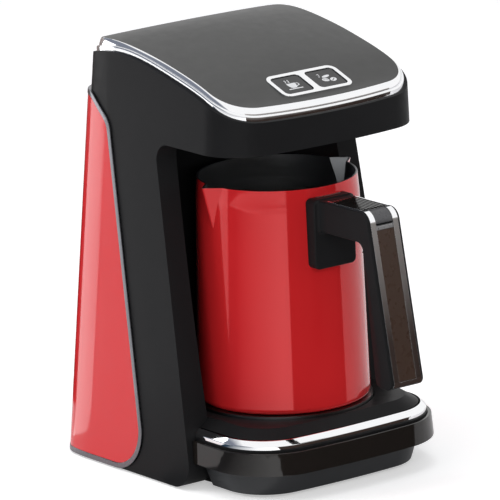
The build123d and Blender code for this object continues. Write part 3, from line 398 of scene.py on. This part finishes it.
# The rim is a broad round shoulder, and the ring stands a little inside it.
rim_drop = 0.0012
ring_inset = 0.0018
rim_width, rim_step = 0.0036, 0.0003
shoulder_width, shoulder_step, shoulder_edge = 0.0016, 0.0004, 0.0014
housing = merged_copy("main_housing", "housing")
for vertex in housing.data.vertices:
    if nearest_on_seam(vertex.co)[1] < rim_width and abs(vertex.co.z - seam_height(vertex.co.y)) < rim_step:
        vertex.co.z -= rim_drop
rounded(housing, 0.0006, segments=3, broad_edge=shoulder_edge, broad=lambda place: (
    nearest_on_seam(place)[1] < shoulder_width
    and abs(place.z + rim_drop - seam_height(place.y)) < shoulder_step))
stand_for(housing, "main_housing", "machine", satin_black)

# ---------------------------------------------------------------- rear cover and its trim
# The cover is a bowed shell of glossy red ABS that clips round the column. A strip of brushed,
# anodised aluminium closes its front edge.
gloss_red = Finish("gloss_red", {"Coat Roughness": 0.03, "Specular IOR Level": 0.3})
gloss_red.vary({
    "Base Color": gloss_red.mix(gloss_red.noise(0.05), screen(204, 38, 43), screen(208, 41, 46)),
    "Roughness": gloss_red.spread(gloss_red.noise(0.03), 0.1, 0.14),
    "Coat Weight": gloss_red.spread(gloss_red.noise(0.05), 0.18, 0.26),
    "Normal": gloss_red.relief(gloss_red.noise(0.0016, detail=1.0), 0.000001)})
dress(gloss_red, "rear_cover")

brushed_trim = Finish("brushed_trim", {"Metallic": 1.0})
brushed_trim.vary({
    "Base Color": brushed_trim.mix(brushed_trim.noise(0.02), screen(108, 108, 112), screen(128, 128, 132)),
    "Roughness": brushed_trim.spread(brushed_trim.noise(0.0004, stretch=(1, 1, 0.02)), 0.22, 0.36),
    "Normal": brushed_trim.relief(brushed_trim.noise(0.0003, stretch=(1, 1, 0.02)), 0.000004)})
softened("rear_trim", "cover_trim", "machine", 0.0004, brushed_trim)


# ---------------------------------------------------------------- lid
# A crowned panel of dark grey satin plastic, held in a chromed ring with two beads and a groove
# between them. The ring clips over the housing's top edge.
bright_chrome = Finish("bright_chrome", {"Metallic": 1.0})
bright_chrome.vary({
    "Base Color": bright_chrome.mix(bright_chrome.noise(0.01), screen(244, 245, 247), screen(250, 250, 251)),
    "Roughness": bright_chrome.spread(bright_chrome.noise(0.01), 0.04, 0.08),
    "Normal": bright_chrome.relief(bright_chrome.noise(0.002, detail=1.0), 0.0000004)})
satin_grey = moulded("satin_grey", (53, 53, 53), (57, 57, 56), (0.43, 0.48), 0.0003, 0.000008, shine=0.4)

panel = merged_copy("lid_panel", "panel", joined=False)
panel_shape = BVHTree.FromPolygons([tuple(v.co) for v in panel.data.vertices],
                                   [tuple(face.vertices) for face in panel.data.polygons])


def lid_over(place):
    """The point of the lid over a place, or nothing."""
    return panel_shape.ray_cast(Vector((place.x, place.y, above_lid)), Vector((0, 0, -1)))[0]


# The ring's width in plan at each step, evened out, and how far the panel's edge moves there.
above_lid = 0.3
tries_per_metre = 20000
even_out = 4
panel_lap = 0.0004
fade_from, fade_over = 0.012, 0.008
widths = [next(k / tries_per_metre for k in range(40, 160) if lid_over(point - out * k / tries_per_metre))
          for point, out in zip(path, outward)]
widths = [sum(widths[(i + k) % steps] for k in range(-even_out, even_out + 1)) / (2 * even_out + 1)
          for i in range(steps)]
rises = []
moves = []
for point, out, width in zip(path, outward, widths):
    old = lid_over(point - out * (width + panel_lap))
    new = lid_over(point - out * (width + panel_lap + ring_inset))
    rises.append(new.z - seam_height(new.y) + rim_drop)
    moves.append(Vector((0, 0, new.z - old.z)) - out * ring_inset)
for vertex in panel.data.vertices:
    nearest, distance = nearest_on_seam(vertex.co)
    vertex.co += moves[nearest] * min(max((widths[nearest] + fade_from - distance) / fade_over, 0), 1)
bpy.context.view_layer.objects.active = panel
shaded(panel)
panel.data.materials.clear()
panel.data.materials.append(satin_grey.material)
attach(panel, "machine")
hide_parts("lid_panel")

# The ring's section in millimetres: in from the seam, up from it, and the share of the panel's rise.
bead_top = 0.0029
drawn_width, ring_gap = 2.7, 0.0001
profile = [(2.7, 0, 0), (0, 0, 0), (0, 1.9, 0), (0.06, 2.3, 0), (0.24, 2.6, 0), (0.5, 2.75, 0),
           (0.78, 2.7, 0), (0.94, 2.5, 0), (0.98, 2.3, 0), (1.18, 2.3, 0), (1.22, 2.9, 0.02),
           (1.34, 2.9, 0.2), (1.58, 2.9, 0.45), (1.9, 2.9, 0.7), (2.3, 2.9, 0.91), (2.56, 2.9, 0.99),
           (2.7, 2.9, 0.98)]
corners, faces = [], []
for point, out, width, rise in zip(path, outward, widths, rises):
    for inset, height, share in profile:
        place = point - out * (ring_inset + inset / drawn_width * (width - ring_gap))
        corners.append((place.x, place.y,
                        seam_height(place.y) - rim_drop + height / 1000 + share * (rise - bead_top)))
count = len(profile)
for i in range(steps):
    for k in range(count):
        faces.append((i * count + k, i * count + (k + 1) % count, (i + 1) % steps * count + (k + 1) % count,
                      (i + 1) % steps * count + k))
ring = bpy.data.objects.new("ring", bpy.data.meshes.new("ring"))
bpy.context.scene.collection.objects.link(ring)
ring.data.from_pydata(corners, [], faces)
bpy.ops.object.select_all(action="DESELECT")
bpy.context.view_layer.objects.active = ring
ring.select_set(True)
bpy.ops.object.mode_set(mode="EDIT")
bpy.ops.mesh.select_all(action="SELECT")
bpy.ops.mesh.normals_make_consistent(inside=False)
bpy.ops.object.mode_set(mode="OBJECT")
bpy.ops.object.shade_smooth_by_angle(angle=math.radians(50))
ring.data.materials.append(bright_chrome.material)
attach(ring, "machine")
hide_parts("lid_ring")

# ---------------------------------------------------------------- buttons
# Two caps of satin grey ABS in a chromed bezel with a bar between them. A cup with steam is printed
# on the left one, and coffee beans on the right one, in pale grey ink.
softened("button_bezel", "bezel", "machine", 0.0005, bright_chrome)
cap_plastic = moulded("cap_plastic", (50, 50, 51), (55, 55, 55), (0.38, 0.46), 0.0003, 0.000006, shine=0.35)
softened("brew_button", "brew_cap", "brew_key", 0.0005, cap_plastic)
softened("beans_button", "beans_cap", "beans_key", 0.0005, cap_plastic)

# ---------------------------------------------------------------- button symbols
# Pale ink, pad-printed on the two caps, with outlines in millimetres on the cap's face: a cup on
# its saucer with steam, and two coffee beans with a leaf.
cap_y, cap_top, cap_slope, cap_middle = -0.034513, 0.21403, 20, 0.01125
ink_depth = 0.00003
pale_ink = moulded("pale_ink", (216, 217, 219), (226, 227, 229), (0.45, 0.55), 0.0002, 0.000003)


def stroke(points, width):
    """The outline of a line of that width through the points."""
    left, right = [], []
    for i, point in enumerate(points):
        before, after = points[max(i - 1, 0)], points[min(i + 1, len(points) - 1)]
        along = Vector((after[0] - before[0], after[1] - before[1])).normalized()
        left.append((point[0] - along.y * width / 2, point[1] + along.x * width / 2))
        right.append((point[0] + along.y * width / 2, point[1] - along.x * width / 2))
    return left + right[::-1]


def oval(middle, width, height, turn, count=20):
    """A turned oval, in degrees."""
    outline = []
    for i in range(count):
        x, y = width / 2 * math.cos(math.tau * i / count), height / 2 * math.sin(math.tau * i / count)
        c, s = math.cos(math.radians(turn)), math.sin(math.radians(turn))
        outline.append((middle[0] + c * x - s * y, middle[1] + s * x + c * y))
    return outline


def printed(name, body, middle, outlines):
    """Ink over the insides of the outlines, on the cap whose middle is that far right of the bar."""
    ink = bpy.data.curves.new(name, "CURVE")
    ink.dimensions = "2D"
    ink.fill_mode = "BOTH"
    ink.extrude = ink_depth
    for outline in outlines:
        spline = ink.splines.new("POLY")
        spline.points.add(len(outline) - 1)
        for point, (x, y) in zip(spline.points, outline):
            point.co = (x / 1000, y / 1000, 0, 1)
        spline.use_cyclic_u = True
    piece = bpy.data.objects.new(name, ink)
    bpy.context.scene.collection.objects.link(piece)
    piece.location = (middle, cap_y, cap_top)
    piece.rotation_euler = (math.radians(cap_slope), 0, 0)
    bpy.ops.object.select_all(action="DESELECT")
    bpy.context.view_layer.objects.active = piece
    piece.select_set(True)
    bpy.ops.object.convert(target="MESH")
    bpy.ops.object.transform_apply(location=True, rotation=True, scale=True)
    piece = bpy.context.object
    piece.data.materials.append(pale_ink.material)
    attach(piece, body)


printed("cup_symbol", "brew_key", -cap_middle, [
    [(-3.1, 1.5), (2.6, 1.5), (2.5, 0.2), (2.1, -1.4), (1.5, -2.6), (0.9, -3.1), (-1.4, -3.1), (-2.1, -2.6),
     (-2.7, -1.4), (-3.0, 0.2)],
    stroke([(2.5, 0.9), (3.9, 0.9), (4.3, 0.1), (3.9, -1.0), (2.1, -1.6)], 0.55),
    stroke([(-4.6, -3.9), (4.5, -3.9)], 0.75),
    stroke([(-2.0, 2.2), (-2.5, 2.8), (-1.7, 3.6), (-2.1, 4.4), (-1.6, 4.9)], 0.5),
    stroke([(-0.1, 2.2), (-0.6, 2.8), (0.2, 3.6), (-0.2, 4.4), (0.3, 4.9)], 0.5)])
printed("beans_symbol", "beans_key", cap_middle, [
    oval((3.3, -2.3), 4.2, 3.3, 25), stroke([(2.0, -3.3), (3.0, -2.5), (3.5, -2.1), (4.6, -1.3)], 0.45),
    oval((-1.3, -1.6), 4.2, 3.0, -20), stroke([(-2.8, -1.3), (-1.7, -1.3), (-0.9, -1.9), (0.2, -1.9)], 0.4),
    oval((0.9, 1.6), 5.4, 2.0, 12),
    stroke([(-3.4, 4.2), (-1.9, 4.4)], 0.45), stroke([(-3.2, 3.0), (-2.1, 3.3)], 0.45),
    stroke([(-3.5, 1.9), (-2.5, 2.1)], 0.45)])


# ---------------------------------------------------------------- base
# The pan, a skirt of glossy black ABS, a chromed ring and the platform, stacked and screwed from
# below. The jug stands on the steel plate in the middle.
gloss_black = moulded("gloss_black", (25, 22, 20), (29, 26, 24), (0.06, 0.09), 0.0015, 0.0000008, shine=0.45)
softened("base_skirt", "skirt", "machine", 0.0005, gloss_black)
softened("base_ring", "foot_ring", "machine", 0.0005, bright_chrome)
softened("platform", "drip_platform", "machine", 0.0006, satin_black)
pan_black = moulded("pan_black", (37, 38, 40), (42, 43, 45), (0.36, 0.44), 0.0005, 0.00001, shine=0.3)
softened("base_pan", "pan", "machine", 0.0006, pan_black)

jug_axis = -0.00419
plate_steel = Finish("plate_steel", {"Metallic": 1.0})
turned = plate_steel.node("ShaderNodeVectorMath", {"operation": "LENGTH"}, {
    0: plate_steel.place(centre=(0, jug_axis, 0), stretch=(1, 1, 0))}, output="Value")
grooves = plate_steel.node("ShaderNodeTexNoise", {"noise_dimensions": "1D"}, {
    "W": turned, "Scale": 2500, "Detail": 3.0})
plate_steel.vary({
    "Base Color": plate_steel.mix(plate_steel.noise(0.03), screen(120, 121, 122), screen(150, 150, 150)),
    "Roughness": plate_steel.spread(grooves, 0.22, 0.42),
    "Normal": plate_steel.relief(grooves, 0.000006)})
dress(plate_steel, "heating_plate", "temperature_sensor", "jug_base_disc")


# ---------------------------------------------------------------- jug
# Deep-drawn stainless sheet with a spout pressed out on each side. Outside it carries glossy red
# enamel; the rim and the inside are bare, brushed round the wall.
red_enamel = Finish("red_enamel", {"Coat Roughness": 0.02, "Specular IOR Level": 0.3, "Metallic": 0.15})
red_enamel.vary({
    "Base Color": red_enamel.mix(red_enamel.noise(0.03), screen(200, 35, 38), screen(204, 38, 41)),
    "Roughness": red_enamel.spread(red_enamel.noise(0.03), 0.06, 0.1),
    "Coat Weight": red_enamel.spread(red_enamel.noise(0.05), 0.2, 0.3),
    "Normal": red_enamel.relief(red_enamel.noise(0.0014, detail=1.0), 0.0000008)})
bare_steel = Finish("bare_steel", {"Metallic": 1.0})
bare_steel.vary({
    "Base Color": bare_steel.mix(bare_steel.noise(0.02), screen(150, 152, 155), screen(166, 167, 169)),
    "Roughness": bare_steel.spread(bare_steel.noise(0.0006, stretch=(0.03, 0.03, 1)), 0.3, 0.42),
    "Normal": bare_steel.relief(bare_steel.noise(0.0005, stretch=(0.03, 0.03, 1)), 0.000004)})
bpy.ops.object.select_all(action="DESELECT")
jug_wall = bpy.data.objects.new("jug_wall", nodes["jug_body"].data.copy())
bpy.context.scene.collection.objects.link(jug_wall)
bpy.context.view_layer.objects.active = jug_wall
jug_wall.select_set(True)
jug_wall.data.materials.clear()
for finish in (red_enamel, bare_steel):
    jug_wall.data.materials.append(finish.material)
rim_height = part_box("jug_body")[1].z - 0.0003
jug_floor_limit = 0.06
for face in jug_wall.data.polygons:
    from_axis = Vector((face.center.x, face.center.y - jug_axis, 0)).normalized()
    inside = face.normal.dot(from_axis) < -0.02 or face.normal.z > 0.5 and face.center.z < jug_floor_limit
    face.material_index = 1 if inside or face.center.z > rim_height else 0
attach(jug_wall, "jug")
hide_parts("jug_body")

# ---------------------------------------------------------------- handle
# A bracket and a grip of black nylon, screwed to a steel tab on the jug. A chromed frame
# holds a brown insert, a grey band and a cap; a ribbed gloss strip lies along the arm.
softened("handle_bracket", "bracket", "jug", 0.0006, satin_black)


def rounded_way(corners):
    """Points (y, z) along a way through corners (y, z, radius), with each corner rounded."""
    way = [corners[0][:2]]
    for before, corner, after in zip(corners, corners[1:], corners[2:]):
        middle = Vector(corner[:2])
        back, on = (Vector(end[:2]) - middle for end in (before, after))
        back.normalize()
        on.normalize()
        half = back.angle(on) / 2
        centre = middle + (back + on).normalized() * corner[2] / math.sin(half)
        start = middle + back * corner[2] / math.tan(half) - centre
        end = middle + on * corner[2] / math.tan(half) - centre
        first = math.atan2(start.y, start.x)
        turn = (math.atan2(end.y, end.x) - first + math.pi) % math.tau - math.pi
        for i in range(10):
            angle = first + turn * i / 9
            way.append((centre.x + corner[2] * math.cos(angle), centre.y + corner[2] * math.sin(angle)))
    return way + [corners[-1][:2]]


def prism(name, outline, half_width):
    """A body with the outline (y, z) in millimetres as its side view, as wide on each side of the middle."""
    shape = bmesh.new()
    left, right = ([shape.verts.new((x / 1000, y / 1000, z / 1000)) for y, z in outline]
                   for x in (-half_width, half_width))
    shape.faces.new(left)
    shape.faces.new(right[::-1])
    for i in range(len(outline)):
        shape.faces.new((left[i - 1], left[i], right[i], right[i - 1]))
    bmesh.ops.recalc_face_normals(shape, faces=shape.faces)
    mesh = bpy.data.meshes.new(name)
    shape.to_mesh(mesh)
    shape.free()
    piece = bpy.data.objects.new(name, mesh)
    bpy.context.scene.collection.objects.link(piece)
    return piece


# The arm and grip in side view, then their sides: flat beside the trims, tapering towards the jug.
grip_half, grip_edge, hidden_edge = 10.8, 0.0012, 0.0002
crease_depth, side_taper, taper_top = 0.007, math.tan(math.radians(12)), 0.1332
foot = Vector((0, -0.11031, 0.0625))
inward = Vector((0, 0.98199, -0.18893))
bracket_face = -0.0583
grip = prism("grip", rounded_way([
    (-58.24, 154.6, 0), (-92.59, 154.6, 7), (-110.31, 62.5, 4), (-94.595, 62.5, 4), (-88.69, 138.2, 5),
    (-58.24, 138.2, 0)]), grip_half)
shape = bmesh.new()
shape.from_mesh(grip.data)
for place, facing in ((foot + inward * crease_depth, inward), (Vector((0, 0, taper_top)), Vector((0, 0, 1)))):
    bmesh.ops.bisect_plane(shape, geom=shape.verts[:] + shape.edges[:] + shape.faces[:], dist=0.0000001,
                           plane_co=place, plane_no=facing)
for vertex in shape.verts:
    behind = (vertex.co - foot).dot(inward) - crease_depth
    if vertex.co.z < taper_top + 0.0001 and behind > 0:
        vertex.co.x = math.copysign(abs(vertex.co.x) - side_taper * behind, vertex.co.x)
shape.to_mesh(grip.data)
shape.free()
bpy.ops.object.select_all(action="DESELECT")
bpy.context.view_layer.objects.active = grip
grip.select_set(True)
rounded(grip, hidden_edge, segments=3, broad_edge=grip_edge, broad=lambda place: place.y < bracket_face)
# The bed of the trims and the sunk hole of the handle screw.
bed = prism("bed", rounded_way([
    (-58, 152.9, 0), (-91.186, 152.9, 5.3), (-108.251, 64.2, 2.3), (-104.81, 64.2, 0)])
    + [(-104.81, 64), (-125, 64), (-125, 175), (-58, 175)], 9.16)
screw_y, under_arm = -0.06349, 0.13
cutters = [bed]
for radius, top in ((0.0037, 0.1404), (0.0021, 0.1511)):
    bpy.ops.mesh.primitive_cylinder_add(vertices=48, radius=radius, depth=top - under_arm,
                                        location=(0, screw_y, (top + under_arm) / 2))
    cutters.append(bpy.context.object)
bpy.ops.object.select_all(action="DESELECT")
bpy.context.view_layer.objects.active = grip
grip.select_set(True)
for cutter in cutters:
    cut = grip.modifiers.new("cut", "BOOLEAN")
    cut.operation, cut.solver, cut.object = "DIFFERENCE", "EXACT", cutter
    bpy.ops.object.modifier_apply(modifier="cut")
    bpy.data.objects.remove(cutter)
bpy.ops.mesh.customdata_custom_splitnormals_clear()
shaded(grip)
stand_for(grip, "handle_grip", "jug", satin_black)
softened("handle_frame", "frame", "jug", 0.0008, bright_chrome, segments=3)
insert_brown = Finish("insert_brown", {"Coat Weight": 0.4, "Coat Roughness": 0.05})
insert_brown.vary({
    "Base Color": insert_brown.mix(insert_brown.noise(0.02), screen(54, 39, 31), screen(59, 43, 34)),
    "Roughness": insert_brown.spread(insert_brown.noise(0.003), 0.25, 0.35),
    "Normal": insert_brown.relief(insert_brown.noise(0.002, detail=1.0), 0.0000004)})
softened("handle_insert", "insert", "jug", 0.0002, insert_brown, segments=1)
band_grey = Finish("band_grey", {"Metallic": 0.7})
band_grey.vary({
    "Base Color": band_grey.mix(band_grey.noise(0.01), screen(150, 150, 152), screen(165, 165, 166)),
    "Roughness": band_grey.spread(band_grey.noise(0.002), 0.25, 0.35)})
softened("handle_band", "band", "jug", 0.0002, band_grey)
cap_grey = Finish("cap_grey", {"Metallic": 0.3})
cap_grey.vary({
    "Base Color": cap_grey.mix(cap_grey.noise(0.01), screen(72, 72, 74), screen(80, 80, 82)),
    "Roughness": cap_grey.spread(cap_grey.noise(0.002), 0.25, 0.35)})
softened("handle_cap", "cap", "jug", 0.0002, cap_grey)
dress(gloss_black, "handle_strip")

# ---------------------------------------------------------------- feet and cord gland
# Four turned feet of soft black rubber are pressed into the bottom cover. The gland is a bored
# grommet of the same rubber, where the mains lead enters.
rubber = moulded("rubber", (33, 33, 34), (41, 41, 42), (0.7, 0.85), 0.0004, 0.00003, shine=0.3)
dress(rubber, "feet", "cord_gland")

# ---------------------------------------------------------------- sensor window
# A smoked, see-through disc in the hatch over the jug, through which the sensor sees the foam.
smoked = moulded("smoked", (20, 14, 16), (28, 19, 21), (0.05, 0.1), 0.002, 0.0000006)
dress(smoked, "sensor_window")

# ---------------------------------------------------------------- screws and small metal
# Zinc-plated screws, the tab that is spot-welded to the jug, and the dish under the heating plate.
zinc = moulded("zinc", (150, 149, 146), (184, 183, 178), (0.25, 0.45), 0.0006, 0.00001, metal=1.0)
dress(zinc, "floor_screws", "button_board_screws", "handle_screw", "handle_tab", "heater_dish")

# ---------------------------------------------------------------- heater
# A tubular element that is brazed under the plate, tinted by the heat, and the fuse beside it.
tinted = Finish("tinted", {"Metallic": 1.0})
tinted.vary({
    "Base Color": tinted.mix(tinted.noise(0.012), screen(116, 96, 70), screen(150, 142, 134)),
    "Roughness": tinted.spread(tinted.noise(0.004), 0.35, 0.6),
    "Normal": tinted.relief(tinted.noise(0.0008), 0.00002)})
dress(tinted, "heating_element")
component_black = moulded("component_black", (22, 22, 24), (34, 34, 36), (0.3, 0.5), 0.0003, 0.00001,
                          shine=0.4)
dress(component_black, "thermal_fuse", "capacitor", "buzzer", "brew_switch", "beans_switch")

# ---------------------------------------------------------------- boards
# Three fibreglass boards in green solder mask. Tracks of copper show through it as a lighter green,
# in runs that turn at right angles.
solder_mask = Finish("solder_mask", {"Specular IOR Level": 0.5})
tracks = solder_mask.node("ShaderNodeTexBrick", {"offset": 0.37, "squash": 1.4}, {
    "Vector": solder_mask.place(stretch=(1, 0, 1)), "Scale": 160, "Mortar Size": 0.09, "Mortar Smooth": 0.1,
    "Color1": (0, 0, 0, 1), "Color2": (0, 0, 0, 1), "Mortar": (1, 1, 1, 1)}, output="Fac")
solder_mask.vary({
    "Base Color": solder_mask.mix(tracks, screen(18, 92, 44), screen(42, 128, 66)),
    "Roughness": solder_mask.spread(solder_mask.noise(0.004), 0.25, 0.4),
    "Normal": solder_mask.relief(tracks, 0.00003)})
dress(solder_mask, "power_board", "button_board", "sensor_board")

# ---------------------------------------------------------------- what sits on the boards
# A relay in a blue case, a transformer wound in yellow tape, a green screw terminal, and the white
# pins under the buttons.
relay_blue = moulded("relay_blue", (28, 74, 148), (34, 84, 162), (0.3, 0.4), 0.0006, 0.000006)
dress(relay_blue, "relay")
yellow_tape = Finish("yellow_tape", {"Specular IOR Level": 0.5})
layers = yellow_tape.node("ShaderNodeTexWave", {"bands_direction": "Z"}, {
    "Vector": yellow_tape.place(), "Scale": 260, "Distortion": 0.4})
yellow_tape.vary({
    "Base Color": yellow_tape.mix(layers, screen(196, 152, 34), screen(222, 182, 62)),
    "Roughness": yellow_tape.spread(yellow_tape.noise(0.003), 0.3, 0.45),
    "Normal": yellow_tape.relief(layers, 0.00003)})
dress(yellow_tape, "transformer")
terminal_green = moulded("terminal_green", (32, 112, 58), (40, 128, 68), (0.35, 0.5), 0.0005, 0.000008)
dress(terminal_green, "terminal_block")
pin_white = moulded("pin_white", (226, 224, 218), (234, 233, 228), (0.35, 0.45), 0.0004, 0.000005)
dress(pin_white, "brew_plunger", "beans_plunger")
